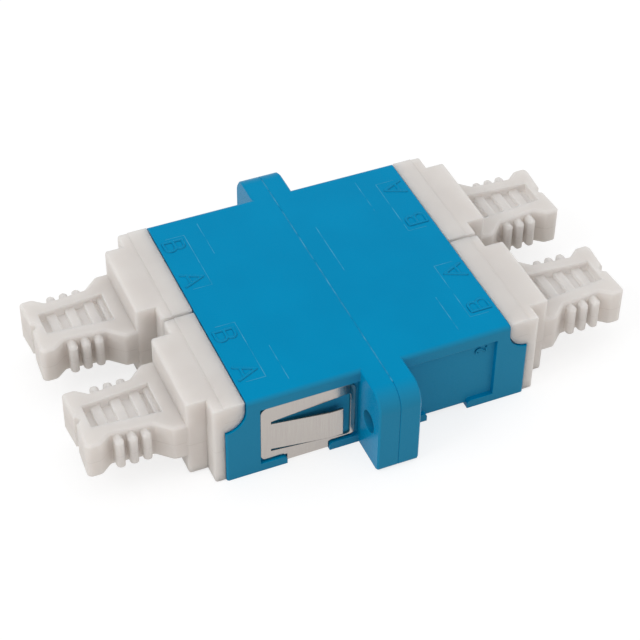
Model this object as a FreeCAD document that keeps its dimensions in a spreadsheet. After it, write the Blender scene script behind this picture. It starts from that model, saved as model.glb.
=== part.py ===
import FreeCAD, Part

import math
import os

import Sketcher

# Row frame, mm: X along the fibre axis, Y across the ports, Z up.
# Origin: middle of the adapter on its underside.
# The rear half of everything points to +X; the front half is the same moulding turned 180 degrees.

SIZES = {
    # housing: two welded halves, seam at X = 0
    "side_wall": 1.05,
    "body_height": 9.0,
    "body_half_length": 14.9,
    "body_edge_round": 0.45,
    "corner_round": 0.25,
    "seam_chamfer": 0.07,
    "ear_reach": 4.2,
    "flange_half_thick": 2.05,
    "ear_top_round": 1.9,
    "ear_bottom_round": 0.5,
    "ear_edge": 0.15,
    "screw_from_body": 2.0,
    "screw_hole_dia": 2.2,
    # ports: four in a row at each end, in two duplex pairs
    "duplex_pitch": 13.0,
    "port_pitch": 6.25,
    "port_axis_height": 3.9,
    "port_opening": 4.65,
    "partition_half": 1.5,
    "barrel_dia": 2.6,
    "barrel_tip": 4.2,
    "ferrule_entry_dia": 1.4,
    "latch_floor": 4.6,
    "latch_slot_width": 3.3,
    "latch_slot_top": 8.15,
    "latch_shoulder": 9.3,
    "latch_pocket_top": 7.5,
    # step in the top at each end, above the port mouths
    "step_length": 2.0,
    "step_radius": 2.05,
    "step_centre_height": 7.95,
    # recess in each side wall, with the lips that hold the clip
    "recess_depth": 0.5,
    "recess_length": 9.6,
    "recess_top": 7.7,
    "lip_height": 0.9,
    "lip_end_round": 0.4,
    "strip_slot_start": 4.9,
    "strip_slot_end": 9.05,
    "strip_slot_depth": 0.3,
    "strip_bend_round": 0.08,
    # spring clip: one folded strip of sheet steel
    "sheet": 0.25,
    "sheet_gap": 0.02,
    "clip_start": 2.35,
    "clip_side_gap": 0.1,
    "strip_side_gap": 0.05,
    "clip_plate_top": 7.45,
    "clip_corner": 0.7,
    "window_margin": 1.0,
    "window_far_margin": 0.5,
    "window_low": 1.95,
    "window_high": 5.65,
    "window_spread": 0.7,
    "window_round": 0.25,
    "tongue_low": 2.2,
    "tongue_high": 5.35,
    "tongue_flat": 1.4,
    "tongue_root": 0.4,
    "panel_gap": 1.8,
    "tongue_rise": 0.72,
    # split sleeves
    "sleeve_length": 6.8,
    "sleeve_outer_dia": 1.62,
    "sleeve_inner_dia": 1.25,
    "sleeve_slit": 0.25,
    "sleeve_float": 0.03,
    "sleeve_end_float": 0.1,
    # dust caps: one moulding covers two ports; starts and ends are measured from the seat face
    "cap_seat_gap": 0.03,
    "cap_plate_thick": 1.05,
    "cap_side_gap": 0.2,
    "cap_top_drop": 0.08,
    "cap_bottom": 0.1,
    "lobe_gap": 0.12,
    "lobe_root": 0.4,
    "collar_end": 2.89,
    "collar_width": 9.1,
    "collar_bottom": 0.35,
    "collar_edge_round": 0.28,
    "grip_middle": 4.35,
    "grip_thick": 4.0,
    "grip_root": 0.8,
    "grip_edge": 0.2,
    "flare_half": 4.45,
    "flare_end": 4.05,
    "flare_round": 0.6,
    "neck_start": 5.5,
    "neck_start_half": 3.1,
    "neck_end": 9.45,
    "neck_end_half": 2.75,
    "neck_round": 0.5,
    "bulb_start": 10.55,
    "bulb_half": 3.65,
    "bulb_round": 0.7,
    "bulb_corner": 0.5,
    "grip_end": 11.85,
    "end_hollow": 0.18,
    "end_groove_half": 0.4,
    "end_groove_depth": 0.38,
    "rib_first": 6.28,
    "rib_pitch": 1.25,
    "rib_width": 0.82,
    "rib_reach": 1.18,
    "rib_shorter": 0.3,
    "rib_root": 0.5,
    "rib_edge": 0.28,
    "pit_start": 4.25,
    "pit_end": 10.63,
    "pit_inner_half": 1.95,
    "pit_outer_half": 1.4,
    "pit_depth": 1.05,
    "rung_first": 9.37,
    "rung_pitch": 1.87,
    "rung_width": 0.95,
    "rung_height": 0.5,
    "rung_round": 0.15,
    "ledge_end": 4.72,
    "ledge_root": 0.1,
    "plug_side_gap": 0.1,
    "plug_length": 5.4,
    "plug_chamfer": 0.5,
    "plug_core_gap": 0.15,
    "plug_core_depth": 4.4,
    # how far a cut starts outside the solid
    "overshoot": 1.0,
}
RIBS = 3
RUNGS = 3
TINY = 1e-4

doc = FreeCAD.newDocument("adapter")
sheet = doc.addObject("Spreadsheet::Sheet", "Sizes")
for row, (alias, value) in enumerate(SIZES.items(), start=1):
    sheet.set(f"A{row}", alias)
    sheet.set(f"B{row}", str(value))
    sheet.setAlias(f"B{row}", alias)
doc.recompute()


class Dim:
    """A number in mm together with the spreadsheet formula that gives it."""

    def __init__(self, value, formula):
        self.value = value
        self.formula = formula

    def joined(self, other, sign, value):
        return Dim(value, f"({self.formula} {sign} {other.formula})")

    def __add__(self, other):
        other = dim(other)
        return self.joined(other, "+", self.value + other.value)

    def __sub__(self, other):
        other = dim(other)
        return self.joined(other, "-", self.value - other.value)

    def __mul__(self, other):
        other = dim(other)
        return self.joined(other, "*", self.value * other.value)

    def __truediv__(self, other):
        other = dim(other)
        return self.joined(other, "/", self.value / other.value)

    def __neg__(self):
        return Dim(-self.value, f"(0 - {self.formula})")


def dim(number):
    if isinstance(number, Dim):
        return number
    return Dim(float(number), str(float(number)))


d = {alias: Dim(value, f"Sizes.{alias}") for alias, value in SIZES.items()}


def bind(obj, path, number):
    obj.setExpression(path, dim(number).formula)


def new_body(label):
    body = doc.addObject("PartDesign::Body", "Body_" + label)
    body.Label = label
    return body


def axis_of(body, role):
    """Origin axis or plane of a body, such as X_Axis or XZ_Plane."""
    return [f for f in body.Origin.OriginFeatures if f.Role == role][0]


def new_sketch(body, name, plane, offset=None):
    """Sketch on an origin plane of the body, moved along that plane's normal by offset."""
    sketch = body.newObject("Sketcher::SketchObject", name)
    sketch.AttachmentSupport = [(axis_of(body, plane), "")]
    sketch.MapMode = "FlatFace"
    if offset is not None:
        bind(sketch, "AttachmentOffset.Base.z", offset)
    return sketch


def pin_point(sketch, geometry, position, x, y):
    """Place one sketch point at x, y from the sketch origin."""
    for kind, axis, number in (("DistanceX", -2, dim(x)), ("DistanceY", -1, dim(y))):
        if abs(number.value) < 1e-9:
            sketch.addConstraint(Sketcher.Constraint("PointOnObject", geometry, position, axis))
            continue
        index = sketch.addConstraint(
            Sketcher.Constraint(kind, -1, 1, geometry, position, number.value)
        )
        bind(sketch, f"Constraints[{index}]", number)


def arc_between(start, end, radius):
    """Arc from start to end; a positive radius runs anticlockwise, a negative one clockwise."""
    chord = end - start
    height = math.sqrt(max(radius * radius - chord.Length**2 / 4, 0.0))
    side = 1 if radius > 0 else -1
    normal = FreeCAD.Vector(-chord.y, chord.x, 0).normalize()
    centre = (start + end) * 0.5 + normal * (height * side)
    angles = [math.atan2(p.y - centre.y, p.x - centre.x) for p in (start, end)]
    if side < 0:
        angles.reverse()
    if angles[1] < angles[0]:
        angles[1] += 2 * math.pi
    circle = Part.Circle(centre, FreeCAD.Vector(0, 0, 1), abs(radius))
    return Part.ArcOfCircle(circle, angles[0], angles[1])


def draw_outline(sketch, corners):
    """Closed outline; each corner is (x, y), or (x, y, radius) for an arc to the next one."""
    points = [FreeCAD.Vector(dim(c[0]).value, dim(c[1]).value, 0) for c in corners]
    pieces = []
    for i, corner in enumerate(corners):
        start = points[i]
        end = points[(i + 1) % len(points)]
        if len(corner) == 2:
            index = sketch.addGeometry(Part.LineSegment(start, end))
            pieces.append((index, 1, 2))
            continue
        index = sketch.addGeometry(arc_between(start, end, corner[2].value))
        pieces.append((index, 1, 2) if corner[2].value > 0 else (index, 2, 1))
    for i, (index, first, last) in enumerate(pieces):
        following, entry, _ = pieces[(i + 1) % len(pieces)]
        sketch.addConstraint(
            Sketcher.Constraint("Coincident", index, last, following, entry)
        )
    for (index, first, _), corner in zip(pieces, corners):
        pin_point(sketch, index, first, corner[0], corner[1])
        if len(corner) == 3:
            size = corner[2] if corner[2].value > 0 else -corner[2]
            place = sketch.addConstraint(Sketcher.Constraint("Radius", index, size.value))
            bind(sketch, f"Constraints[{place}]", size)
    return sketch


def draw_box(sketch, low_x, low_y, high_x, high_y):
    return draw_outline(
        sketch, [(low_x, low_y), (high_x, low_y), (high_x, high_y), (low_x, high_y)]
    )


def draw_circle(sketch, x, y, diameter):
    circle = Part.Circle(
        FreeCAD.Vector(dim(x).value, dim(y).value, 0),
        FreeCAD.Vector(0, 0, 1),
        diameter.value / 2,
    )
    index = sketch.addGeometry(circle)
    pin_point(sketch, index, 3, x, y)
    place = sketch.addConstraint(Sketcher.Constraint("Diameter", index, diameter.value))
    bind(sketch, f"Constraints[{place}]", diameter)


def pad(body, name, sketch, length, middle=False, reversed_side=False):
    feature = body.newObject("PartDesign::Pad", name)
    feature.Profile = sketch
    bind(feature, "Length", length)
    feature.Midplane = middle
    feature.Reversed = reversed_side
    sketch.Visibility = False
    return feature


def pocket(body, name, sketch, length=None, middle=False, along_normal=False):
    """Cut a sketch away, by a length or right through, against its normal or along it."""
    feature = body.newObject("PartDesign::Pocket", name)
    feature.Profile = sketch
    feature.Midplane = middle
    feature.Reversed = along_normal
    if length is None:
        feature.Type = "ThroughAll"
    else:
        bind(feature, "Length", length)
    sketch.Visibility = False
    return feature


def dress(body, kind, name, size, keep):
    """Fillet or chamfer the edges of the body so far for which keep(box, edge) holds."""
    doc.recompute()
    base = body.Tip
    names = [
        f"Edge{i}"
        for i, edge in enumerate(base.Shape.Edges, start=1)
        if keep(edge.BoundBox, edge)
    ]
    feature = body.newObject("PartDesign::" + kind, name)
    feature.Base = (base, names)
    bind(feature, "Radius" if kind == "Fillet" else "Size", size)
    doc.recompute()
    return feature


def near(a, b):
    return abs(a - dim(b).value) < TINY


def furthest(low, high):
    """Distance of an edge's outermost point from the middle plane."""
    return max(abs(low), abs(high))


def mirror_feature(body, name, feature, plane):
    mirrored = body.newObject("PartDesign::Mirrored", name)
    mirrored.Originals = [feature]
    mirrored.MirrorPlane = (axis_of(body, plane), [""])
    body.Tip = mirrored
    return mirrored


def port_centres():
    """Sideways positions of the four ports of one end."""
    outer = d["duplex_pitch"] / 2
    inner = d["port_pitch"] / 2
    return [-outer - inner, -outer + inner, outer - inner, outer + inner]


def half_body():
    """From the middle plane to the outside of a side wall."""
    return port_centres()[-1] + d["port_opening"] / 2 + d["side_wall"]


def make_housing(label):
    body = new_body(label)
    over = d["overshoot"]
    half_width = half_body()
    height = d["body_height"]
    length = d["body_half_length"]
    thick = d["flange_half_thick"]

    block = new_sketch(body, "BlockOutline", "YZ_Plane")
    draw_box(block, -half_width, 0, half_width, height)
    pad(body, "Block", block, length)

    ear = half_width + d["ear_reach"]
    top = d["ear_top_round"]
    low = d["ear_bottom_round"]
    flange = new_sketch(body, "FlangeOutline", "YZ_Plane")
    draw_outline(flange, [
        (low - ear, 0),
        (ear - low, 0, low),
        (ear, low),
        (ear, height - top, top),
        (ear - top, height),
        (top - ear, height, top),
        (-ear, height - top),
        (-ear, low, low),
    ])
    pad(body, "Flange", flange, thick)

    # rounded step that leaves the port mouths open from above
    step_x = length - d["step_length"]
    round_step = d["step_radius"]
    centre_z = d["step_centre_height"]
    step = new_sketch(body, "StepOutline", "XZ_Plane")
    draw_outline(step, [
        (step_x, height + over),
        (step_x, centre_z, round_step),
        (step_x + round_step, centre_z - round_step),
        (length + over, centre_z - round_step),
        (length + over, height + over),
    ])
    pocket(body, "Step", step, middle=True)

    # square ports, each with a slot and an undercut for the plug's latch
    half_port = d["port_opening"] / 2
    half_slot = d["latch_slot_width"] / 2
    axis_z = d["port_axis_height"]
    ports = new_sketch(body, "PortOutlines", "YZ_Plane", d["partition_half"])
    slots = new_sketch(body, "LatchSlotOutlines", "YZ_Plane", d["latch_floor"])
    undercuts = new_sketch(body, "LatchUndercutOutlines", "YZ_Plane", d["latch_floor"])
    for y in port_centres():
        draw_box(ports, y - half_port, axis_z - half_port, y + half_port, axis_z + half_port)
        draw_box(slots, y - half_slot, axis_z, y + half_slot, d["latch_slot_top"])
        draw_box(undercuts, y - half_port, axis_z, y + half_port, d["latch_pocket_top"])
    pocket(body, "Ports", ports, along_normal=True)
    pocket(body, "LatchSlots", slots, along_normal=True)
    depth = d["latch_shoulder"] - d["latch_floor"]
    pocket(body, "LatchUndercuts", undercuts, depth, along_normal=True)

    # barrels that hold the split sleeves
    bore = d["sleeve_outer_dia"] + d["sleeve_float"] * 2
    barrels = new_sketch(body, "BarrelCircles", "YZ_Plane")
    bores = new_sketch(body, "SleeveBoreCircles", "YZ_Plane")
    entries = new_sketch(body, "FerruleEntryCircles", "YZ_Plane")
    for y in port_centres():
        draw_circle(barrels, y, axis_z, d["barrel_dia"])
        draw_circle(bores, y, axis_z, bore)
        draw_circle(entries, y, axis_z, d["ferrule_entry_dia"])
    pad(body, "Barrels", barrels, d["barrel_tip"])
    seat_depth = d["sleeve_length"] / 2 + d["sleeve_end_float"]
    pocket(body, "SleeveBores", bores, seat_depth, along_normal=True)
    pocket(body, "FerruleEntries", entries, along_normal=True)

    holes = new_sketch(body, "ScrewHoleCircles", "YZ_Plane")
    screw_y = half_width + d["screw_from_body"]
    for y in (-screw_y, screw_y):
        draw_circle(holes, y, height / 2, d["screw_hole_dia"])
    pocket(body, "ScrewHoles", holes, along_normal=True)

    # side recess with a lip each side of the way out for the clip's strip
    first = d["strip_slot_start"]
    last = d["strip_slot_end"]
    lip = d["lip_height"]
    turn = d["lip_end_round"]
    far = thick + d["recess_length"]
    recess = new_sketch(body, "RecessOutline", "XZ_Plane", half_width - d["recess_depth"])
    draw_outline(recess, [
        (first, -over),
        (last, -over),
        (last, lip - turn, -turn),
        (last + turn, lip),
        (far, lip),
        (far, d["recess_top"]),
        (thick, d["recess_top"]),
        (thick, lip),
        (first - turn, lip, -turn),
        (first, lip - turn),
    ])
    side = pocket(body, "SideRecess", recess, along_normal=True)
    mirror_feature(body, "SideRecesses", side, "XZ_Plane")

    groove = new_sketch(body, "StripGrooveOutline", "XY_Plane")
    draw_box(groove, first, -half_width - over, last, half_width + over)
    pocket(body, "StripGroove", groove, d["strip_slot_depth"], along_normal=True)

    floor_y = half_width - d["recess_depth"]
    dress(body, "Fillet", "StripBends", d["strip_bend_round"], lambda box, edge: (
        near(box.ZMin, d["strip_slot_depth"]) and near(box.ZMax, d["strip_slot_depth"])
        and near(furthest(box.YMin, box.YMax), floor_y) and near(box.YLength, 0)
    ))
    dress(body, "Fillet", "TopEdges", d["body_edge_round"], lambda box, edge: (
        near(box.ZMin, height) and box.XLength > thick.value
        and near(furthest(box.YMin, box.YMax), half_width)
    ))
    dress(body, "Fillet", "EndCorners", d["corner_round"], lambda box, edge: (
        near(box.XMin, length) and near(box.XMax, length) and box.ZLength > thick.value
        and near(furthest(box.YMin, box.YMax), half_width)
    ))
    dress(body, "Chamfer", "EarEdges", d["ear_edge"], lambda box, edge: (
        near(box.XMin, thick) and near(box.XMax, thick) and len(edge.Vertexes) == 2
        and furthest(box.YMin, box.YMax) > half_width.value + TINY
    ))
    dress(body, "Chamfer", "SeamEdges", d["seam_chamfer"], lambda box, edge: (
        near(box.XMin, 0) and near(box.XMax, 0) and len(edge.Vertexes) == 2
    ))
    return body


def make_clip(label):
    """One strip of spring steel: under the housing and up both sides, with a tongue each side."""
    body = new_body(label)
    sheet_t = d["sheet"]
    gap = d["sheet_gap"]
    inner_y = half_body() - d["recess_depth"] + gap
    outer_y = inner_y + sheet_t
    inner_z = d["strip_slot_depth"] - gap
    outer_z = inner_z - sheet_t
    inner_r = d["strip_bend_round"] + gap
    outer_r = inner_r + sheet_t
    top = d["clip_plate_top"]
    start = d["clip_start"]
    end = d["flange_half_thick"] + d["recess_length"] - d["clip_side_gap"]

    fold = new_sketch(body, "FoldProfile", "YZ_Plane", start)
    draw_outline(fold, [
        (outer_r - outer_y, outer_z),
        (outer_y - outer_r, outer_z, outer_r),
        (outer_y, outer_z + outer_r),
        (outer_y, top),
        (inner_y, top),
        (inner_y, inner_z + inner_r, -inner_r),
        (inner_y - inner_r, inner_z),
        (inner_r - inner_y, inner_z, -inner_r),
        (-inner_y, inner_z + inner_r),
        (-inner_y, top),
        (-outer_y, top),
        (-outer_y, outer_z + outer_r, outer_r),
    ])
    pad(body, "Fold", fold, end - start)

    # the base and the bends are only as wide as the way between the lips
    plate_low = d["lip_height"] + d["clip_side_gap"]
    strip_start = d["strip_slot_start"] + d["strip_side_gap"]
    strip_end = d["strip_slot_end"] - d["strip_side_gap"]
    waste = new_sketch(body, "StripSides", "XZ_Plane")
    over = d["overshoot"]
    draw_box(waste, start - over, -over, strip_start, plate_low)
    draw_box(waste, strip_end, -over, end + over, plate_low)
    pocket(body, "StripCut", waste, middle=True)

    corner_x = (start.value, end.value)
    dress(body, "Fillet", "PlateCorners", d["clip_corner"], lambda box, edge: (
        near(box.XLength, 0) and near(box.ZLength, 0) and near(box.YLength, sheet_t)
        and min(abs(box.XMin - x) for x in corner_x) < TINY
    ))

    root_x = end - d["window_margin"]
    near_x = start + d["window_far_margin"]
    window = new_sketch(body, "WindowOutline", "XZ_Plane")
    draw_outline(window, [
        (near_x, d["window_low"] - d["window_spread"]),
        (root_x, d["window_low"]),
        (root_x, d["window_high"]),
        (near_x, d["window_high"] + d["window_spread"]),
    ])
    pocket(body, "Windows", window, middle=True)
    dress(body, "Fillet", "WindowCorners", d["window_round"], lambda box, edge: (
        near(box.XMin, near_x) and near(box.XLength, 0) and near(box.ZLength, 0)
    ))

    tip_x = d["flange_half_thick"] + d["panel_gap"]
    bend_x = tip_x + d["tongue_flat"]
    rise = d["tongue_rise"]
    tongue = new_sketch(body, "TongueProfile", "XY_Plane", d["tongue_low"])
    draw_outline(tongue, [
        (root_x + d["tongue_root"], -outer_y),
        (root_x + d["tongue_root"], -inner_y),
        (root_x, -inner_y),
        (bend_x, -inner_y - rise),
        (tip_x, -inner_y - rise),
        (tip_x, -outer_y - rise),
        (bend_x, -outer_y - rise),
        (root_x, -outer_y),
    ])
    bent = pad(body, "Tongue", tongue, d["tongue_high"] - d["tongue_low"])
    mirror_feature(body, "Tongues", bent, "XZ_Plane")
    return body


def make_sleeve(label):
    body = new_body(label)
    ring = new_sketch(body, "SleeveRing", "YZ_Plane")
    draw_circle(ring, 0, 0, d["sleeve_outer_dia"])
    draw_circle(ring, 0, 0, d["sleeve_inner_dia"])
    pad(body, "Sleeve", ring, d["sleeve_length"], middle=True)
    slit = new_sketch(body, "SlitOutline", "XY_Plane")
    reach = d["sleeve_length"] / 2 + d["overshoot"]
    half_slit = d["sleeve_slit"] / 2
    draw_box(slit, -reach, -half_slit, reach, half_slit)
    pocket(body, "Slit", slit, along_normal=True)
    return body


def make_cap(label):
    """Dust cap for one duplex pair: two plugs, a plate with a lobe, a collar and a ribbed grip."""
    body = new_body(label)
    seat = d["body_half_length"] + d["cap_seat_gap"]
    half_cap = d["duplex_pitch"] / 2 - d["cap_side_gap"]
    half_collar = d["collar_width"] / 2
    height = d["body_height"]
    top = height - d["cap_top_drop"]
    collar_end = seat + d["collar_end"]

    plate = new_sketch(body, "PlateOutline", "YZ_Plane", seat)
    draw_box(plate, -half_cap, d["cap_bottom"], half_cap, top)
    pad(body, "Plate", plate, d["cap_plate_thick"])
    plate_end = seat + d["cap_plate_thick"]
    dress(body, "Fillet", "PlateEdges", d["collar_edge_round"], lambda box, edge: (
        near(box.XMin, plate_end) and near(box.XMax, plate_end)
    ))

    collar = new_sketch(body, "CollarOutline", "YZ_Plane", seat)
    draw_box(collar, -half_collar, d["collar_bottom"], half_collar, top)
    pad(body, "Collar", collar, collar_end - seat)
    dress(body, "Fillet", "CollarEdges", d["collar_edge_round"], lambda box, edge: (
        near(box.XMin, collar_end) and near(box.XMax, collar_end)
    ))

    # lobe that fills the housing's rounded step
    round_lobe = d["step_radius"] - d["lobe_gap"]
    centre_x = d["body_half_length"] - d["step_length"] + d["step_radius"]
    centre_z = d["step_centre_height"]
    lobe = new_sketch(body, "LobeOutline", "XZ_Plane")
    draw_outline(lobe, [
        (centre_x - round_lobe, height),
        (centre_x - round_lobe, centre_z, round_lobe),
        (centre_x, centre_z - round_lobe),
        (seat + d["lobe_root"], centre_z - round_lobe),
        (seat + d["lobe_root"], top),
        (seat, top),
        (seat, height),
    ])
    pad(body, "Lobe", lobe, half_cap * 2, middle=True)

    # grip: flat in plan, waisted, with a bulb at the end
    flare = d["flare_half"]
    neck = d["neck_end_half"]
    wide_neck = d["neck_start_half"]
    bulb = d["bulb_half"]
    flare_end = seat + d["flare_end"]
    neck_start = seat + d["neck_start"]
    neck_end = seat + d["neck_end"]
    bulb_start = seat + d["bulb_start"]
    end = seat + d["grip_end"]
    corner = d["bulb_corner"]
    groove = d["end_groove_half"]
    groove_depth = d["end_groove_depth"]
    groove_r = (groove * groove + groove_depth * groove_depth) / (groove_depth * 2)
    hollow_end = end - d["end_hollow"]
    grip = new_sketch(body, "GripOutline", "XY_Plane", d["grip_middle"])
    draw_outline(grip, [
        (collar_end - d["grip_root"], flare),
        (collar_end - d["grip_root"], -flare),
        (flare_end, -flare),
        (neck_start, -wide_neck),
        (neck_end, -neck),
        (bulb_start, -bulb),
        (end - corner, -bulb, corner),
        (end, corner - bulb),
        (hollow_end, -groove, -groove_r),
        (hollow_end, groove),
        (end, bulb - corner, corner),
        (end - corner, bulb),
        (bulb_start, bulb),
        (neck_end, neck),
        (neck_start, wide_neck),
        (flare_end, flare),
    ])
    pad(body, "Grip", grip, d["grip_thick"], middle=True)
    grip_top = d["grip_middle"] + d["grip_thick"] / 2
    grip_low = d["grip_middle"] - d["grip_thick"] / 2
    levels = (grip_top.value, grip_low.value)
    for name, size, spots in (
        ("FlareCorners", "flare_round", [(flare_end, flare)]),
        ("NeckCorners", "neck_round", [(neck_start, wide_neck), (neck_end, neck)]),
        ("BulbCorners", "bulb_round", [(bulb_start, bulb)]),
    ):
        dress(body, "Fillet", name, d[size], lambda box, edge, spots=spots: any(
            near(box.XMin, x) and near(box.XMax, x) and near(box.YLength, 0)
            and near(furthest(box.YMin, box.YMax), y) for x, y in spots
        ))
    dress(body, "Chamfer", "GripEdges", d["grip_edge"], lambda box, edge: (
        near(box.ZLength, 0) and box.XMax > collar_end.value + TINY
        and min(abs(box.ZMin - z) for z in levels) < TINY
    ))

    # finger ribs down each side of the neck
    reach = neck + d["rib_reach"]
    half_rib = d["rib_width"] / 2
    rib_x = seat + d["rib_first"]
    root_y = -neck + d["rib_root"]
    rib = new_sketch(body, "RibOutline", "XY_Plane", d["grip_middle"])
    draw_outline(rib, [
        (rib_x - half_rib, root_y),
        (rib_x - half_rib, half_rib - reach, half_rib),
        (rib_x, -reach, half_rib),
        (rib_x + half_rib, half_rib - reach),
        (rib_x + half_rib, root_y),
    ])
    first_rib = pad(body, "Rib", rib, d["grip_thick"] - d["rib_shorter"] * 2, middle=True)
    ribs = body.newObject("PartDesign::MultiTransform", "Ribs")
    ribs.Originals = [first_rib]
    row = body.newObject("PartDesign::LinearPattern", "RibRow")
    row.Direction = (axis_of(body, "X_Axis"), [""])
    bind(row, "Length", d["rib_pitch"] * (RIBS - 1))
    row.Occurrences = RIBS
    sides = body.newObject("PartDesign::Mirrored", "RibSides")
    sides.MirrorPlane = (axis_of(body, "XZ_Plane"), [""])
    ribs.Transformations = [row, sides]
    body.Tip = ribs
    rib_levels = (levels[0] - d["rib_shorter"].value, levels[1] + d["rib_shorter"].value)
    dress(body, "Chamfer", "RibEnds", d["rib_edge"], lambda box, edge: (
        near(box.ZLength, 0) and min(abs(box.ZMin - z) for z in rib_levels) < TINY
        and furthest(box.YMin, box.YMax) > wide_neck.value + TINY
    ))

    # pits in the top and underside of the grip; the top one has rungs across it
    pit_start = seat + d["pit_start"]
    pit_end = seat + d["pit_end"]
    inner = d["pit_inner_half"]
    outer = d["pit_outer_half"]
    depth = d["pit_depth"]
    for name, level, upward in (
        ("TopPit", grip_top - depth, True),
        ("LowerPit", grip_low + depth, False),
    ):
        pit = new_sketch(body, name + "Outline", "XY_Plane", level)
        draw_outline(pit, [
            (pit_start, -inner),
            (pit_end, -outer),
            (pit_end, outer),
            (pit_start, inner),
        ])
        pocket(body, name, pit, along_normal=upward)
    half_rung = d["rung_width"] / 2
    rung_x = seat + d["rung_first"]
    rung = new_sketch(body, "RungOutline", "XY_Plane", grip_top - depth)
    draw_box(rung, rung_x - half_rung, -inner, rung_x + half_rung, inner)
    first_rung = pad(body, "Rung", rung, d["rung_height"])
    rungs = body.newObject("PartDesign::LinearPattern", "Rungs")
    rungs.Originals = [first_rung]
    rungs.Direction = (axis_of(body, "X_Axis"), [""])
    rungs.Reversed = True
    bind(rungs, "Length", d["rung_pitch"] * (RUNGS - 1))
    rungs.Occurrences = RUNGS
    body.Tip = rungs
    ledge = new_sketch(body, "LedgeOutline", "XY_Plane", grip_top - depth)
    draw_box(ledge, pit_start - d["ledge_root"], -inner, seat + d["ledge_end"], inner)
    pad(body, "Ledge", ledge, d["rung_height"])
    rung_top = grip_top - depth + d["rung_height"]
    dress(body, "Fillet", "RungEdges", d["rung_round"], lambda box, edge: (
        near(box.ZMin, rung_top) and near(box.ZMax, rung_top) and near(box.XLength, 0)
    ))

    # hollow plugs that close the two ports
    half_plug = d["port_opening"] / 2 - d["plug_side_gap"]
    core_dia = d["barrel_dia"] + d["plug_core_gap"] * 2
    axis_z = d["port_axis_height"]
    plugs = new_sketch(body, "PlugOutlines", "YZ_Plane", seat)
    tip = seat - d["plug_length"]
    cores = new_sketch(body, "PlugCoreCircles", "YZ_Plane", tip)
    for y in (-d["port_pitch"] / 2, d["port_pitch"] / 2):
        draw_box(plugs, y - half_plug, axis_z - half_plug, y + half_plug, axis_z + half_plug)
        draw_circle(cores, y, axis_z, core_dia)
    pad(body, "Plugs", plugs, d["plug_length"], reversed_side=True)
    dress(body, "Chamfer", "PlugLeadIns", d["plug_chamfer"], lambda box, edge: (
        near(box.XMin, tip) and near(box.XMax, tip)
    ))
    pocket(body, "PlugCores", cores, d["plug_core_depth"], along_normal=True)
    return body


def place(body, y=0, z=0, turned=False):
    """Set a body at y, z; turned faces it to the front end, half a turn about Z."""
    if turned:
        body.Placement.Rotation = FreeCAD.Rotation(FreeCAD.Vector(0, 0, 1), 180)
    bind(body, "Placement.Base.y", y)
    bind(body, "Placement.Base.z", z)
    return body


cap_y = d["duplex_pitch"] / 2
bodies = [
    place(make_housing("housing_front"), turned=True),
    place(make_housing("housing_rear")),
    place(make_clip("spring_clip"), turned=True),
    place(make_cap("dust_cap_front_left"), cap_y, turned=True),
    place(make_cap("dust_cap_front_right"), -cap_y, turned=True),
    place(make_cap("dust_cap_rear_left"), cap_y),
    place(make_cap("dust_cap_rear_right"), -cap_y),
]
for number, y in enumerate(port_centres(), start=1):
    sleeve = make_sleeve(f"split_sleeve_{number}")
    bodies.append(place(sleeve, y, d["port_axis_height"]))
doc.recompute()

for obj in doc.Objects:
    if "Invalid" in obj.State or "Error" in obj.State:
        raise RuntimeError(f"{obj.Label} did not build: {obj.State}")
os.makedirs("parts", exist_ok=True)
for body in bodies:
    if body.Shape.isNull() or not body.Shape.isValid() or len(body.Shape.Solids) != 1:
        raise RuntimeError(f"{body.Label} is not one valid solid")
    body.Shape.exportStep(f"parts/{body.Label}.step")
    print(body.Label, round(body.Shape.Volume, 1))
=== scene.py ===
import math

import bpy
import numpy as np
from mathutils import Matrix, Vector


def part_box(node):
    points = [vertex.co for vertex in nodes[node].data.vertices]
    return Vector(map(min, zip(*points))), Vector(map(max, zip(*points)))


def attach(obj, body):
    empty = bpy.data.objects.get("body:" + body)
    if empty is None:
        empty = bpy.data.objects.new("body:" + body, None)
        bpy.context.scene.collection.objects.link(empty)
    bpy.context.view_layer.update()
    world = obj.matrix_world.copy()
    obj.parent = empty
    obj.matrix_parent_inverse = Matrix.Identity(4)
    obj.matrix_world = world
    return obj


# Looks of an LC fibre adapter: two blue housing halves, a spring clip, four split sleeves
# and four soft dust caps. Lengths in the dictionaries are millimetres, and mm turns them
# into the frame's metres. X runs along the fibres, Y across the ports, Z up.

mm = 0.001

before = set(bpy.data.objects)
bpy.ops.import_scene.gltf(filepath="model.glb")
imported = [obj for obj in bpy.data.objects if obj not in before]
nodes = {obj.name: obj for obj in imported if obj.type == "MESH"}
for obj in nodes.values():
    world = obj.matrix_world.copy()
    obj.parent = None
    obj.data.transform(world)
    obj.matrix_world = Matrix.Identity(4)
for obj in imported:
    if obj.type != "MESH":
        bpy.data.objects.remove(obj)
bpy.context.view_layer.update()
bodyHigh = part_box("housing_rear")[1]
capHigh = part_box("dust_cap_rear_left")[1]
print("frame loaded:", len(nodes), "CAD nodes")


# Node of one kind; settings are its properties, values its input sockets, by name.
def addNode(tree, kind, settings=None, **values):
    node = tree.nodes.new(kind)
    for key, value in (settings or {}).items():
        setattr(node, key, value)
    for key, value in values.items():
        setInput(tree, node, key.replace("_", " "), value)
    return node


# Value or link into a socket, found by its name or its number.
def setInput(tree, node, name, value):
    socket = node.inputs[int(name)] if name.isdigit() else node.inputs[name]
    if isinstance(value, bpy.types.NodeSocket):
        tree.links.new(value, socket)
    else:
        socket.default_value = value


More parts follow.
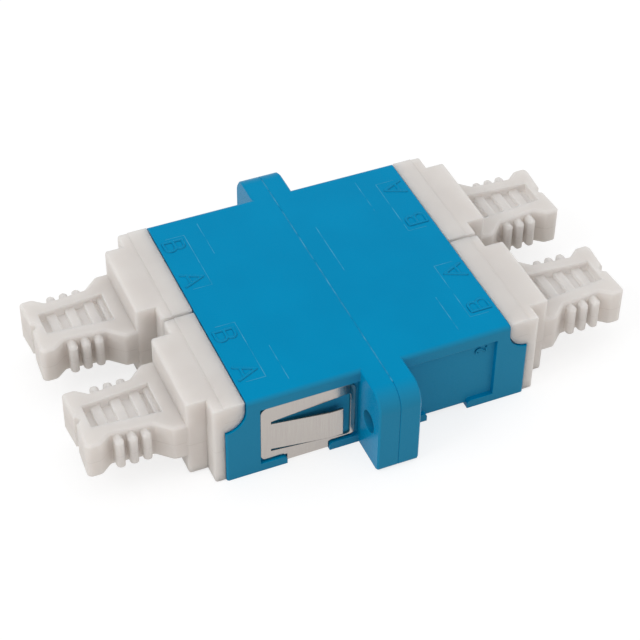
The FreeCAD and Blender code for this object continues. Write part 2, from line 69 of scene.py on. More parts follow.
# Empty shader group with named sockets, and its input and output nodes.
def newGroup(name, takes, gives):
    group = bpy.data.node_groups.new(name, "ShaderNodeTree")
    for label, kind in takes:
        group.interface.new_socket(label, in_out="INPUT", socket_type=kind)
    for label, kind in gives:
        group.interface.new_socket(label, in_out="OUTPUT", socket_type=kind)
    return group, group.nodes.new("NodeGroupInput"), group.nodes.new("NodeGroupOutput")


# A group placed in a tree, with its input sockets set by name.
def useGroup(tree, group, **values):
    node = tree.nodes.new("ShaderNodeGroup")
    node.node_tree = group
    for key, value in values.items():
        setInput(tree, node, key.replace("_", " "), value)
    return node


# One arithmetic step on values or links, held to 0 to 1 where clamp is set.
def mathNode(tree, operation, a, b=0.0, clamp=False):
    node = addNode(tree, "ShaderNodeMath", {"operation": operation, "use_clamp": clamp})
    setInput(tree, node, "0", a)
    setInput(tree, node, "1", b)
    return node.outputs[0]


# A value carried from the range low to high into a new range, and held inside it.
def remap(tree, value, low, high, newLow, newHigh):
    node = addNode(tree, "ShaderNodeMapRange", Value=value, From_Min=low, From_Max=high,
                   To_Min=newLow, To_Max=newHigh)
    return node.outputs["Result"]


# Colour that goes from the first to the second as the factor goes from 0 to 1.
def mixColour(tree, factor, first, second):
    node = addNode(tree, "ShaderNodeMix", {"data_type": "RGBA"})
    setInput(tree, node, "0", factor)
    setInput(tree, node, "6", first)
    setInput(tree, node, "7", second)
    return node.outputs[2]


# Object coordinates in millimetres, squeezed along any axis that a pattern runs along.
def placeInMm(tree, stretch=(1.0, 1.0, 1.0)):
    coordinates = tree.nodes.new("ShaderNodeTexCoord")
    scale = tuple(s / mm for s in stretch)
    node = addNode(tree, "ShaderNodeMapping", Vector=coordinates.outputs["Object"], Scale=scale)
    return node.outputs["Vector"]


mouldedGrain = {
    "fineDetail": 3.0,
    "fineRoughness": 0.6,
    "slowDetail": 2.0,
    "slowRoughness": 0.5,
}
fineEnds = (0.3, 0.7)  # most of the fine noise lies between these
slowEnds = (0.35, 0.65)  # and most of the slow noise between these


# Spark-eroded mould texture: fine grain, and a slow drift of tone across the piece.
def mouldedGrainGroup(look):
    group, takes, gives = newGroup(
        "mouldedGrain",
        [("Place", "NodeSocketVector"), ("Grain Per Mm", "NodeSocketFloat"),
         ("Drift Per Mm", "NodeSocketFloat")],
        [("Grain", "NodeSocketFloat"), ("Drift", "NodeSocketFloat")],
    )
    fine = addNode(group, "ShaderNodeTexNoise", Vector=takes.outputs["Place"],
                   Scale=takes.outputs["Grain Per Mm"], Detail=look["fineDetail"],
                   Roughness=look["fineRoughness"])
    slow = addNode(group, "ShaderNodeTexNoise", Vector=takes.outputs["Place"],
                   Scale=takes.outputs["Drift Per Mm"], Detail=look["slowDetail"],
                   Roughness=look["slowRoughness"])
    group.links.new(fine.outputs[0], gives.inputs["Grain"])
    group.links.new(slow.outputs[0], gives.inputs["Drift"])
    return group


softEdge = {
    "samples": 6,
    "fullTurn": 0.8,  # cosine of the turn at which the mask is 1
}


# Rounded edge shading, and a mask that is 1 where the surface turns an edge.
def softEdgeGroup(name, radius):
    group, takes, gives = newGroup(
        name, [], [("Normal", "NodeSocketVector"), ("Edge", "NodeSocketFloat")]
    )
    rounded = addNode(group, "ShaderNodeBevel", {"samples": softEdge["samples"]},
                      Radius=radius * mm)
    flat = group.nodes.new("ShaderNodeNewGeometry")
    dot = addNode(group, "ShaderNodeVectorMath", {"operation": "DOT_PRODUCT"})
    setInput(group, dot, "0", rounded.outputs[0])
    setInput(group, dot, "1", flat.outputs["Normal"])
    mask = remap(group, dot.outputs["Value"], 1.0, softEdge["fullTurn"], 0.0, 1.0)
    group.links.new(rounded.outputs[0], gives.inputs["Normal"])
    group.links.new(mask, gives.inputs["Edge"])
    return group


# Mask of a fine line round the upright walls at one height, where two mould halves met.
def partingLineGroup():
    group, takes, gives = newGroup(
        "partingLine",
        [("Place", "NodeSocketVector"), ("Level", "NodeSocketFloat"),
         ("Width", "NodeSocketFloat")],
        [("Line", "NodeSocketFloat")],
    )
    split = addNode(group, "ShaderNodeSeparateXYZ", Vector=takes.outputs["Place"])
    off = mathNode(group, "ABSOLUTE", mathNode(group, "SUBTRACT", split.outputs["Z"],
                                               takes.outputs["Level"]))
    near = mathNode(group, "SUBTRACT", 1.0, mathNode(group, "DIVIDE", off, takes.outputs["Width"]),
                    clamp=True)
    facing = group.nodes.new("ShaderNodeNewGeometry")
    slope = addNode(group, "ShaderNodeSeparateXYZ", Vector=facing.outputs["Normal"])
    upright = mathNode(group, "SUBTRACT", 1.0, mathNode(group, "ABSOLUTE", slope.outputs["Z"]),
                       clamp=True)
    group.links.new(mathNode(group, "MULTIPLY", near, upright), gives.inputs["Line"])
    return group


grainGroup = mouldedGrainGroup(mouldedGrain)
partingGroup = partingLineGroup()


# Material whose Principled shader is fed by the nodes added after this call.
def newMaterial(name):
    material = bpy.data.materials.new(name)
    material.use_nodes = True
    tree = material.node_tree
    return material, tree, tree.nodes["Principled BSDF"]


# Roughness that follows a noise, from the look's middle less its spread to middle plus spread.
def varyRoughness(tree, shader, noise, look):
    middle, spread = look["roughness"], look["roughnessSpread"]
    setInput(tree, shader, "Roughness",
             remap(tree, noise, *fineEnds, middle - spread, middle + spread))


# Normal turned by a height pattern of a depth in millimetres, laid over another normal.
def bumped(tree, depth, height, normal):
    node = addNode(tree, "ShaderNodeBump", Strength=1.0, Distance=depth * mm, Height=height,
                   Normal=normal)
    return node.outputs[0]


housingPlastic = {
    "colour": (0.0, 0.270, 0.522, 1.0),
    "shade": (0.0, 0.256, 0.500, 1.0),
    # paler edge colour: partly wear, partly a painted highlight along the edges
    "edgeColour": (0.015, 0.345, 0.60, 1.0),
    # painted shade for the walls that face along Y
    "paintedSideShade": (0.021, 0.226, 0.396, 1.0),
    "roughness": 0.30,
    "roughnessSpread": 0.06,
    "ior": 1.3,
    "specular": 0.15,
    "specularTint": (0.0, 0.8, 1.0, 1.0),
    "driftPerMm": 0.16,
    "grainPerMm": 9.0,
    "grainDepth": 0.0012,
    "edgeRadius": 0.09,
    "edgeWearAndHighlight": 0.45,
}


# The same plastic painted paler, with bright dashes, for the mould lines and weld flash: a
# painted highlight, as if their ridges catch the light.
flashHighlightPlastic = dict(housingPlastic, colour=(0.10, 0.44, 0.65, 1.0),
                    shade=(0.0, 0.275, 0.53, 1.0), driftPerMm=0.7)


# Satin moulded plastic: slow drift of tone, fine grain, painted shade on the long side walls,
# and paler edges that are partly wear and partly a painted highlight.
def makeHousingPlastic(name, look):
    material, tree, shader = newMaterial(name)
    place = placeInMm(tree)
    grain = useGroup(tree, grainGroup, Place=place, Grain_Per_Mm=look["grainPerMm"],
                     Drift_Per_Mm=look["driftPerMm"])
    edges = useGroup(tree, softEdgeGroup(name + "Edges", look["edgeRadius"]))
    drift = remap(tree, grain.outputs["Drift"], *slowEnds, 0.0, 1.0)
    tone = mixColour(tree, drift, look["shade"], look["colour"])
    # Painted shade: faces that turn along Y are mixed towards a darker, greyer blue, by how far
    # they turn.
    facing = tree.nodes.new("ShaderNodeNewGeometry")
    slope = addNode(tree, "ShaderNodeSeparateXYZ", Vector=facing.outputs["Normal"])
    side = mathNode(tree, "ABSOLUTE", slope.outputs["Y"])
    tone = mixColour(tree, side, tone, look["paintedSideShade"])
    # Partly wear and partly painted highlight: edges are mixed towards a paler, brighter blue.
    wearAndHighlight = mathNode(tree, "MULTIPLY", edges.outputs["Edge"], look["edgeWearAndHighlight"])
    setInput(tree, shader, "Base Color", mixColour(tree, wearAndHighlight, tone, look["edgeColour"]))
    varyRoughness(tree, shader, grain.outputs["Grain"], look)
    setInput(tree, shader, "Normal", bumped(tree, look["grainDepth"], grain.outputs["Grain"],
                                            edges.outputs["Normal"]))
    shader.inputs["Specular IOR Level"].default_value = look["specular"]
    shader.inputs["Specular Tint"].default_value = look["specularTint"]
    shader.inputs["IOR"].default_value = look["ior"]
    return material


capPlastic = {
    "colour": (0.715, 0.683, 0.655, 1.0),
    "shade": (0.690, 0.655, 0.627, 1.0),
    # paler edge colour: partly wear, partly a painted highlight along the edges
    "edgeColour": (0.73, 0.705, 0.68, 1.0),
    "edgeShare": 0.3,
    "roughness": 0.52,
    "roughnessSpread": 0.06,
    "specular": 0.35,
    "subsurface": 1.0,
    "subsurfaceDepth": 2.6,
    "subsurfaceSpread": (1.0, 0.97, 0.95),
    "driftPerMm": 0.3,
    "grainPerMm": 6.0,
    "grainDepth": 0.002,
    "edgeRadius": 0.2,
    "lineColour": (0.52, 0.48, 0.45, 1.0),
    "lineShare": 0.5,
    "lineWidth": 0.05,
    "lineDepth": 0.02,
    "gripLine": 4.25,  # heights of the parting lines
    "plateLine": 3.82,
    "lobeLine": 7.18,
    "gripStart": 17.9,  # reaches along the fibres, from the middle
    "lobeEnd": 14.9,
    "gripMiddle": 4.35,
    "gripHalf": 2.0,
    # painted light on the floors of the grips' pits
    "pitPaintedLight": (0.835, 0.812, 0.793, 1.0),
    "pitMiddle": (22.38, 6.5),  # along the fibres and across, from the middle
    "pitHalf": (3.22, 2.05),
    "rungDepth": 0.45,  # under the grip's face
    "pitDepth": 1.0,
}


# Height of the parting line at each point, by how far out it lies: one height on the grip, one
# on the plate and one on the lobe.
def partingLevel(tree, out, look):
    onGrip = mathNode(tree, "GREATER_THAN", out, look["gripStart"])
    onLobe = mathNode(tree, "LESS_THAN", out, look["lobeEnd"])
    level = remap(tree, onGrip, 0.0, 1.0, look["plateLine"], look["gripLine"])
    rise = mathNode(tree, "MULTIPLY", onLobe, look["lobeLine"] - look["plateLine"])
    return mathNode(tree, "ADD", level, rise)


# Mask of the painted light in the grips' pits: 0 down to the rungs, 1 at the floor, and 0 outside
# the pits.
def pitMask(tree, split, out, look):
    height = mathNode(tree, "ABSOLUTE", mathNode(tree, "SUBTRACT", split.outputs["Z"],
                                                 look["gripMiddle"]))
    mask = remap(tree, height, look["gripHalf"] - look["rungDepth"],
                 look["gripHalf"] - look["pitDepth"], 0.0, 1.0)
    across = mathNode(tree, "ABSOLUTE", split.outputs["Y"])
    for reach, middle, half in zip((out, across), look["pitMiddle"], look["pitHalf"]):
        off = mathNode(tree, "ABSOLUTE", mathNode(tree, "SUBTRACT", reach, middle))
        mask = mathNode(tree, "MULTIPLY", mask, mathNode(tree, "LESS_THAN", off, half))
    return mask


# Soft cloudy plastic: rounded edges, paler edges that are partly wear and partly a painted
# highlight, parting lines, light in its skin, and painted light deep in the grips' pits: a paler
# tone that stands in for light let through the thin web.
def makeCapPlastic(name, look):
    material, tree, shader = newMaterial(name)
    place = placeInMm(tree)
    grain = useGroup(tree, grainGroup, Place=place, Grain_Per_Mm=look["grainPerMm"],
                     Drift_Per_Mm=look["driftPerMm"])
    edges = useGroup(tree, softEdgeGroup(name + "Edges", look["edgeRadius"]))
    split = addNode(tree, "ShaderNodeSeparateXYZ", Vector=place)
    out = mathNode(tree, "ABSOLUTE", split.outputs["X"])
    line = useGroup(tree, partingGroup, Place=place, Level=partingLevel(tree, out, look),
                    Width=look["lineWidth"])
    drift = remap(tree, grain.outputs["Drift"], *slowEnds, 0.0, 1.0)
    tone = mixColour(tree, drift, look["shade"], look["colour"])
    # Painted light: the pit floors are mixed towards a paler colour, in place of light let through
    # the thin web.
    tone = mixColour(tree, pitMask(tree, split, out, look), tone, look["pitPaintedLight"])
    # Partly wear and partly painted highlight: edges are mixed towards a paler colour.
    wearAndHighlight = mathNode(tree, "MULTIPLY", edges.outputs["Edge"], look["edgeShare"])
    tone = mixColour(tree, wearAndHighlight, tone, look["edgeColour"])
    lineMask = mathNode(tree, "MULTIPLY", line.outputs["Line"], look["lineShare"])
    setInput(tree, shader, "Base Color", mixColour(tree, lineMask, tone, look["lineColour"]))
    varyRoughness(tree, shader, grain.outputs["Grain"], look)
    ridge = bumped(tree, look["lineDepth"], line.outputs["Line"], edges.outputs["Normal"])
    setInput(tree, shader, "Normal", bumped(tree, look["grainDepth"], grain.outputs["Grain"],
                                            ridge))
    shader.inputs["Specular IOR Level"].default_value = look["specular"]
    shader.inputs["Subsurface Weight"].default_value = look["subsurface"]
    shader.inputs["Subsurface Radius"].default_value = look["subsurfaceSpread"]
    shader.inputs["Subsurface Scale"].default_value = look["subsurfaceDepth"] * mm
    return material


clipSteel = {
    "colour": (0.505, 0.475, 0.435, 1.0),
    "streak": (0.46, 0.415, 0.395, 1.0),
    # dark edge colour: a painted reflection along the sheared edges
    "edgeColour": (0.17, 0.14, 0.125, 1.0),
    "edgeShare": 0.7,
    "roughness": 0.17,
    "roughnessSpread": 0.04,
    "streaksPerMm": 16.0,
    "streakLength": 0.02,
    "streakDepth": 0.0002,
    "driftPerMm": 0.5,
    "wavePerMm": 0.28,
    "waveDepth": 0.12,
    "edgeRadius": 0.09,
}


# Rolled strip: fine streaks along the strip's length, which runs under and up the sides, and a
# painted dark reflection along the sheared edges.
def makeClipSteel(name, look):
    material, tree, shader = newMaterial(name)
    along = look["streakLength"]
    place = placeInMm(tree, (1.0, along, along))
    streaks = useGroup(tree, grainGroup, Place=place, Grain_Per_Mm=look["streaksPerMm"],
                       Drift_Per_Mm=look["driftPerMm"])
    edges = useGroup(tree, softEdgeGroup(name + "Edges", look["edgeRadius"]))
    tint = remap(tree, streaks.outputs["Grain"], *fineEnds, 0.0, 1.0)
    tone = mixColour(tree, tint, look["streak"], look["colour"])
    # Painted reflection: edges are mixed towards a dark colour, standing in for rolled sheared
    # edges that reflect dark surroundings.
    darkEdgeReflection = mathNode(tree, "MULTIPLY", edges.outputs["Edge"], look["edgeShare"])
    setInput(tree, shader, "Base Color", mixColour(tree, darkEdgeReflection, tone, look["edgeColour"]))
    varyRoughness(tree, shader, streaks.outputs["Grain"], look)
    waves = addNode(tree, "ShaderNodeTexNoise", Vector=placeInMm(tree), Scale=look["wavePerMm"],
                    Detail=1.0)
    bend = bumped(tree, look["waveDepth"], waves.outputs[0], edges.outputs["Normal"])
    setInput(tree, shader, "Normal", bumped(tree, look["streakDepth"], streaks.outputs["Grain"],
                                            bend))
    shader.inputs["Metallic"].default_value = 1.0
    return material


sleeveCeramic = {
    "colour": (0.86, 0.85, 0.80, 1.0),
    "shade": (0.80, 0.78, 0.72, 1.0),
    "roughness": 0.16,
    "roughnessSpread": 0.05,
    "ringsPerMm": 16.0,
    "ringSqueeze": 0.05,
    "ringDepth": 0.0005,
    "driftPerMm": 0.4,
    "edgeRadius": 0.03,
}


# Ground zirconia: close rings round the sleeve from grinding.
def makeSleeveCeramic(name, look):
    material, tree, shader = newMaterial(name)
    place = placeInMm(tree, (1.0, look["ringSqueeze"], look["ringSqueeze"]))
    rings = useGroup(tree, grainGroup, Place=place, Grain_Per_Mm=look["ringsPerMm"],
                     Drift_Per_Mm=look["driftPerMm"])
    edges = useGroup(tree, softEdgeGroup(name + "Edges", look["edgeRadius"]))
    tint = remap(tree, rings.outputs["Drift"], *fineEnds, 0.0, 1.0)
    setInput(tree, shader, "Base Color", mixColour(tree, tint, look["shade"], look["colour"]))
    varyRoughness(tree, shader, rings.outputs["Grain"], look)
    setInput(tree, shader, "Normal", bumped(tree, look["ringDepth"], rings.outputs["Grain"],
                                            edges.outputs["Normal"]))
    return material


# One material on a CAD node, in place of what the frame gave it.
def dressNode(name, material):
    nodes[name].data.materials.clear()
    nodes[name].data.materials.append(material)


housingMaterial = makeHousingPlastic("housingPlastic", housingPlastic)
flashHighlightMaterial = makeHousingPlastic("flashHighlightPlastic", flashHighlightPlastic)
capMaterial = makeCapPlastic("capPlastic", capPlastic)
steelMaterial = makeClipSteel("clipSteel", clipSteel)
ceramicMaterial = makeSleeveCeramic("sleeveCeramic", sleeveCeramic)
for nodeName in nodes:
    if nodeName.startswith("housing"):
        dressNode(nodeName, housingMaterial)
    elif nodeName.startswith("dust_cap"):
        dressNode(nodeName, capMaterial)
    elif nodeName.startswith("split_sleeve"):
        dressNode(nodeName, ceramicMaterial)
    else:
        dressNode(nodeName, steelMaterial)
print("materials on the CAD nodes")


# Mesh object at the origin, from arrays of points in metres and faces.
def addPiece(name, points, faces, material):
    mesh = bpy.data.meshes.new(name)
    mesh.from_pydata(points.tolist(), [], faces.tolist())
    mesh.update()
    mesh.polygons.foreach_set("use_smooth", np.ones(len(faces), bool))
    mesh.materials.append(material)
    piece = bpy.data.objects.new(name, mesh)
    bpy.context.scene.collection.objects.link(piece)
    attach(piece, "adapter")
    return piece


# Shortest distance from each grid point to a set of polylines: the least, over all their
# segments, of the distance to the nearest point of that segment.
def distanceToStrokes(u, v, strokes):
    starts = np.concatenate([s[:-1] for s in strokes])
    ends = np.concatenate([s[1:] for s in strokes])
    grid = np.stack([u, v], axis=-1)[..., None, :]
    along = ends - starts
    share = ((grid - starts) * along).sum(-1) / (along * along).sum(-1)
    nearest = starts + np.clip(share, 0, 1)[..., None] * along
    return np.linalg.norm(grid - nearest, axis=-1).min(-1)


# Points of an elliptic arc: the centre plus the radii times cosine and sine.
def arcPoints(centre, radii, degrees, count=10):
    angle = np.radians(np.linspace(degrees[0], degrees[1], count))
    return np.stack([centre[0] + radii[0] * np.cos(angle),
                     centre[1] + radii[1] * np.sin(angle)], axis=1)


letterShape = {
    "crossbar": 0.3,  # shares of a letter's height and width
    "waist": 0.53,
    "upperInset": 0.12,
    "bowlTurn": (160, -35),  # degrees at the start and end of the figure's bowl
    "bowlPoints": 14,
}


# Centre lines of a letter in its own box, with its middle at 0, 0.
def letterStrokes(letter, width, height):
    left, low, right, high = -width / 2, -height / 2, width / 2, height / 2
    if letter == "A":
        bar = low + letterShape["crossbar"] * height
        inset = letterShape["crossbar"] * width / 2
        return [np.array([(left, low), (0, high), (right, low)]),
                np.array([(left + inset, bar), (right - inset, bar)])]
    if letter == "B":
        waist = low + letterShape["waist"] * height
        upper = (high - waist) / 2
        lower = (waist - low) / 2
        upperSide = right - letterShape["upperInset"] * width
        upperBowl = arcPoints((upperSide - upper, waist + upper), (upper, upper), (90, -90))
        lowerBowl = arcPoints((right - lower, low + lower), (lower, lower), (90, -90))
        return [np.array([(left, low), (left, high)]),
                np.concatenate([[(left, high)], upperBowl, [(left, waist)]]),
                np.concatenate([[(left, waist)], lowerBowl, [(left, low)]])]
    bowl = width / 2
    curve = arcPoints((0, high - bowl), (bowl, bowl), letterShape["bowlTurn"],
                      letterShape["bowlPoints"])
    return [np.concatenate([curve, [(left, low), (right, low)]])]


# Raised strokes on a grid: full height within half a stroke's width of a centre line,
# falling over the slope to just under the face. Gives u, v, height and the grid's cells.
def reliefOfStrokes(strokes, relief):
    edge = relief["stroke"] / 2 + relief["slope"]
    low = np.min([s.min(0) for s in strokes], axis=0) - edge
    high = np.max([s.max(0) for s in strokes], axis=0) + edge
    counts = np.ceil((high - low) / relief["grid"]).astype(int) + 1
    u, v = np.meshgrid(np.linspace(low[0], high[0], counts[0]),
                       np.linspace(low[1], high[1], counts[1]), indexing="ij")
    away = distanceToStrokes(u, v, strokes)
    share = np.clip((edge - away) / relief["slope"], 0, 1)
    height = share * (relief["height"] + relief["sink"]) - relief["sink"]
    index = np.arange(u.size).reshape(u.shape)
    cells = np.stack([index[:-1, :-1], index[1:, :-1], index[1:, 1:], index[:-1, 1:]], -1)
    raised = share.ravel()[cells].max(-1) > 0
    return u.ravel(), v.ravel(), height.ravel(), cells[raised]


# One piece from several marks, each with its strokes, its place and its two directions.
def addRelief(name, marks, relief, material):
    points, faces, count = [], [], 0
    for strokes, place, right, up in marks:
        u, v, height, cells = reliefOfStrokes(strokes, relief)
        out = np.cross(right, up)
        grid = place + u[:, None] * right + v[:, None] * up + height[:, None] * out
        used, renumbered = np.unique(cells, return_inverse=True)
        points.append(grid[used])
        faces.append(renumbered.reshape(cells.shape) + count)
        count += len(used)
    piece = addPiece(name, np.concatenate(points) * mm, np.concatenate(faces), material)
    backing = piece.modifiers.new("backing", "SOLIDIFY")
    backing.thickness = relief["backing"] * mm
    backing.offset = -1.0
    return piece


portLetters = {
    "width": {"A": 1.7, "B": 1.35},
    "tall": 1.9,
    "fromMiddle": 11.45,
    "inner": 4.15,
    "outer": 9.2,
    "stroke": 0.2,
    "slope": 0.05,
    "height": 0.09,
    "sink": 0.02,
    "backing": 0.02,
    "grid": 0.045,
}


# Port letters of one end: A and B over each duplex pair, read from outside that end.
def makePortLetters(end, turn, look):
    top = bodyHigh.z / mm
    up = np.array([-turn, 0.0, 0.0])
    right = np.array([0.0, turn, 0.0])
    marks = []
    for letter, across in (("B", -look["outer"]), ("A", -look["inner"]),
                           ("B", look["inner"]), ("A", look["outer"])):
        place = np.array([turn * look["fromMiddle"], turn * across, top])
        marks.append((letterStrokes(letter, look["width"][letter], look["tall"]),
                      place, right, up))
    return addRelief("port_letters_" + end, marks, look, housingMaterial)


makePortLetters("front", -1, portLetters)
makePortLetters("rear", 1, portLetters)


cavityMark = {
    "width": 0.6,
    "tall": 1.05,
    "place": (10.25, 6.6),
    "capSideGap": 0.2,
    "recessDepth": 0.5,
    "stroke": 0.15,
    "slope": 0.03,
    "height": 0.15,
    "sink": 0.02,
    "backing": 0.02,
    "grid": 0.035,
}


# Small figure lying on its side on the floor of the side recess. The side wall stands outside
# the caps by their side gap, and the recess goes into it.
def makeCavityMark(look):
    strokes = letterStrokes("2", look["width"], look["tall"])
    wall = capHigh.y / mm + look["capSideGap"] - look["recessDepth"]
    place = np.array([look["place"][0], -wall, look["place"][1]])
    return addRelief("cavity_mark", [(strokes, place, np.array([0.0, 0.0, 1.0]),
                                      np.array([-1.0, 0.0, 0.0]))], look, housingMaterial)


makeCavityMark(cavityMark)
print("letters and cavity mark")


mouldLines = {
    "width": 0.07,
    "height": 0.02,
    "sink": 0.01,  # how far the ridge goes into the face
    "insertX": 10.05,
    "insertInner": 2.8,
    "insertOuter": 10.4,
    "insertLeg": 1.9,
    "coreX": 8.3,
    "coreStart": 6.8,
    "coreEnd": 11.5,
    "ribX": 2.05,
    "ribStart": -0.1,
    "ribEnd": 6.7,
}


ridgePoints = 7  # across a ridge's section


# Low ridge on the top face: at each point of the path, a half-ellipse section set square
# to the path, mitred at corners. Gives points and faces.
def ridgeAlong(path, width, height, sink):
    steps = np.diff(path, axis=0)
    steps /= np.linalg.norm(steps, axis=1)[:, None]
    before = np.vstack([steps[:1], steps])
    after = np.vstack([steps, steps[-1:]])
    middle = before + after
    middle /= np.linalg.norm(middle, axis=1)[:, None]
    across = np.stack([-middle[:, 1], middle[:, 0]], axis=1)
    across /= (middle * before).sum(1)[:, None]
    angle = np.linspace(0, math.pi, ridgePoints)
    offset = np.cos(angle) * width / 2
    lift = np.sin(angle) * (height + sink) - sink
    flat = path[:, None, :] + across[:, None, :] * offset[None, :, None]
    level = np.broadcast_to(lift, flat.shape[:2])
    points = np.concatenate([flat, level[..., None]], axis=-1).reshape(-1, 3)
    index = np.arange(len(points)).reshape(flat.shape[:2])
    faces = np.stack([index[:-1, :-1], index[:-1, 1:], index[1:, 1:], index[1:, :-1]], -1)
    return points, faces.reshape(-1, 4)


# Witness lines left by the mould's inserts on the top face of both halves.
def makeMouldLines(look):
    paths = []
    for turn in (1.0, -1.0):
        for side in (1.0, -1.0):
            x, leg = look["insertX"], look["insertX"] + look["insertLeg"]
            inner, outer = look["insertInner"] * side, look["insertOuter"] * side
            paths.append(np.array([(leg, inner), (x, inner), (x, outer), (leg, outer)]) * turn)
            paths.append(np.array([(look["coreX"], look["coreStart"] * side),
                                   (look["coreX"], look["coreEnd"] * side)]) * turn)
    paths.append(np.array([(look["ribX"], look["ribStart"]), (look["ribX"], look["ribEnd"])]))
    points, faces, count = [], [], 0
    for path in paths:
        ridge, cells = ridgeAlong(path, look["width"], look["height"], look["sink"])
        points.append(ridge)
        faces.append(cells + count)
        count += len(ridge)
    points = np.concatenate(points)
    points[:, 2] += bodyHigh.z / mm
    return addPiece("mould_lines", points * mm, np.concatenate(faces), flashHighlightMaterial)


makeMouldLines(mouldLines)


weldFlash = {
    "width": 0.11,
    "height": 0.03,
    "sink": 0.07,
    "earRound": 1.9,  # length of the round at each ear's end, which has no bead
    "wander": 0.012,
    "wanderWaves": ((0.9, 0.3), (2.3, 1.7), (5.1, 4.0)),  # radians per mm, and at the middle
    "liftShare": 0.4,
    "liftWaves": ((1.7, 0.0), (0.45, 1.0)),
    "step": 0.15,
}


# Thin bead along the seam of the two halves: a straight ridge that wanders sideways by the mean
# of a few sine waves of different lengths, and whose crest rises and falls by the product of two.
def makeWeldFlash(look):
    reach = bodyHigh.y / mm - look["earRound"]
    y = np.arange(-reach, reach, look["step"])
    waves = [np.sin(y * turns + start) for turns, start in look["wanderWaves"]]
    path = np.stack([sum(waves) / len(waves) * look["wander"], y], axis=1)
    points, faces = ridgeAlong(path, look["width"], look["height"], look["sink"])
    lift = np.prod([np.sin(y * turns + start) for turns, start in look["liftWaves"]], axis=0)
    lift = np.repeat(lift, ridgePoints)
    crest = points[:, 2] > 0
    points[crest, 2] += lift[crest] * look["height"] * look["liftShare"]
    points[:, 2] += bodyHigh.z / mm
    return addPiece("weld_flash", points * mm, faces, flashHighlightMaterial)


makeWeldFlash(weldFlash)
print("mould lines and weld flash")


studio = {
    "floorHalf": 1500.0,
    "floorDrop": 0.01,  # keeps the floor clear of the underside
    "floorColour": (0.80, 0.765, 0.72, 1.0),
    "seenColour": (0.30, 0.30, 0.30, 1.0),
    "seenGlow": 0.76,
    "skyLevel": 0.62,
}


# 1 for camera, glossy and transmission rays, which see the backdrop as white.
def seenRays(tree):
    path = tree.nodes.new("ShaderNodeLightPath")
    both = mathNode(tree, "ADD", path.outputs["Is Camera Ray"], path.outputs["Is Glossy Ray"])
    return mathNode(tree, "ADD", both, path.outputs["Is Transmission Ray"], clamp=True)


# Pale floor: plain diffuse for bounced light, and near white where it is seen.
def makeFloor(look):
    half, level = look["floorHalf"] * mm, -look["floorDrop"] * mm
    mesh = bpy.data.meshes.new("studio_floor")
    corners = [(-half, -half, level), (half, -half, level), (half, half, level),
               (-half, half, level)]
    mesh.from_pydata(corners, [], [(0, 1, 2, 3)])
    floor = bpy.data.objects.new("studio_floor", mesh)
    bpy.context.scene.collection.objects.link(floor)
    material = bpy.data.materials.new("studioFloor")
    material.use_nodes = True
    tree = material.node_tree
    tree.nodes.clear()
    plain = addNode(tree, "ShaderNodeBsdfDiffuse", Color=look["floorColour"])
    soft = addNode(tree, "ShaderNodeBsdfDiffuse", Color=look["seenColour"])
    glow = addNode(tree, "ShaderNodeEmission", Strength=look["seenGlow"])
    bright = tree.nodes.new("ShaderNodeAddShader")
    tree.links.new(soft.outputs[0], bright.inputs[0])
    tree.links.new(glow.outputs[0], bright.inputs[1])
    mix = tree.nodes.new("ShaderNodeMixShader")
    tree.links.new(seenRays(tree), mix.inputs[0])
    tree.links.new(plain.outputs[0], mix.inputs[1])
    tree.links.new(bright.outputs[0], mix.inputs[2])
    output = tree.nodes.new("ShaderNodeOutputMaterial")
    tree.links.new(mix.outputs[0], output.inputs["Surface"])
    mesh.materials.append(material)


# Even white world, brighter where it is seen than where it lights.
def makeSky(look):
    world = bpy.data.worlds.new("studioWorld")
    bpy.context.scene.world = world
    world.use_nodes = True
    tree = world.node_tree
    background = tree.nodes["Background"]
    background.inputs["Color"].default_value = (1.0, 1.0, 1.0, 1.0)
    level = remap(tree, seenRays(tree), 0.0, 1.0, look["skyLevel"], 1.0)
    tree.links.new(level, background.inputs["Strength"])


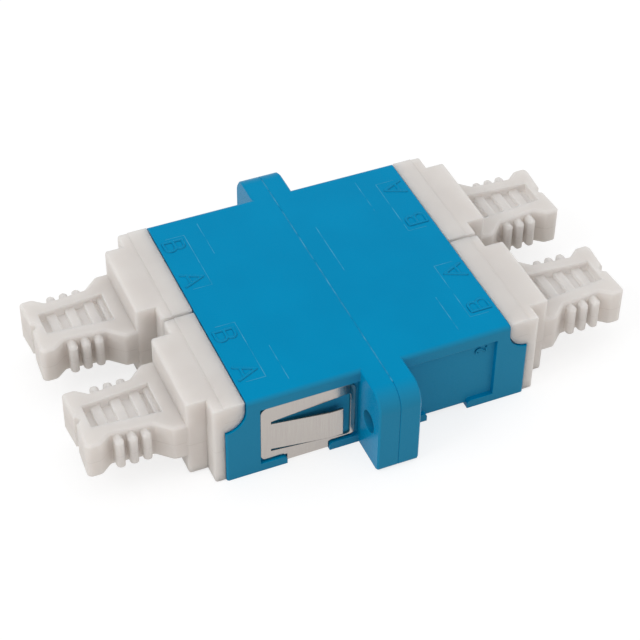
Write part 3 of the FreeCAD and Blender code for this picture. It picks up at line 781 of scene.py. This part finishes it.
# Name, place, side of the square, share of plain level, colour.
lamps = (
    ("overheadLamp", (0.0, 120.0, 580.0), 400.0, 0.07, (1.0, 1.0, 1.0)),
    ("leftLamp", (-920.0, -40.0, 750.0), 600.0, 0.25, (1.0, 1.0, 1.0)),
    ("rightLamp", (920.0, 120.0, 750.0), 600.0, 0.13, (1.0, 1.0, 1.0)),
    ("frontLamp", (-60.0, -600.0, 180.0), 300.0, 0.10, (1.0, 0.90, 0.90)),
)


# Square soft lamp aimed at the origin: its power is the share of plain level that it gives
# there, times pi squared and the distance squared.
def addLamp(name, place, size, share, colour):
    lamp = bpy.data.lights.new(name, "AREA")
    lamp.shape = "SQUARE"
    lamp.size = size * mm
    away = Vector(place) * mm
    lamp.energy = share * math.pi * math.pi * away.length_squared
    lamp.color = colour
    holder = bpy.data.objects.new(name, lamp)
    holder.location = away
    holder.rotation_euler = (-away).to_track_quat("-Z", "Y").to_euler()
    bpy.context.scene.collection.objects.link(holder)


makeFloor(studio)
makeSky(studio)
for lampRow in lamps:
    addLamp(*lampRow)


cameraFit = {
    "azimuth": 23.904,
    "elevation": 42.66,
    "distance": 181.29,
    "roll": 0.925,
    "target": (-0.876, -1.258, 4.7),
    "lens": 108.26,
    "sensor": 36.0,
    "clip": (10.0, 10000.0),
}


# Camera on the line back from its target, turned about that line by the roll. The lens and the
# sensor are in millimetres of the camera's own, as Blender takes them.
def makeCamera(fit):
    a, e = math.radians(fit["azimuth"]), math.radians(fit["elevation"])
    ahead = Vector((math.sin(a) * math.cos(e), math.cos(a) * math.cos(e), -math.sin(e)))
    level = Vector((math.cos(a), -math.sin(a), 0))
    turn = Matrix.Rotation(-math.radians(fit["roll"]), 3, ahead)
    right = turn @ level
    up = turn @ level.cross(ahead)
    camera = bpy.data.cameras.new("studioCamera")
    camera.lens = fit["lens"]
    camera.sensor_width = fit["sensor"]
    camera.clip_start, camera.clip_end = (end * mm for end in fit["clip"])
    holder = bpy.data.objects.new("studioCamera", camera)
    eye = Vector(fit["target"]) - ahead * fit["distance"]
    turned = Matrix((right, up, -ahead)).transposed().to_4x4()
    holder.matrix_world = Matrix.Translation(eye * mm) @ turned
    bpy.context.scene.collection.objects.link(holder)
    bpy.context.scene.camera = holder


makeCamera(cameraFit)
bpy.context.scene.view_settings.view_transform = "Standard"
print("floor, light and camera")
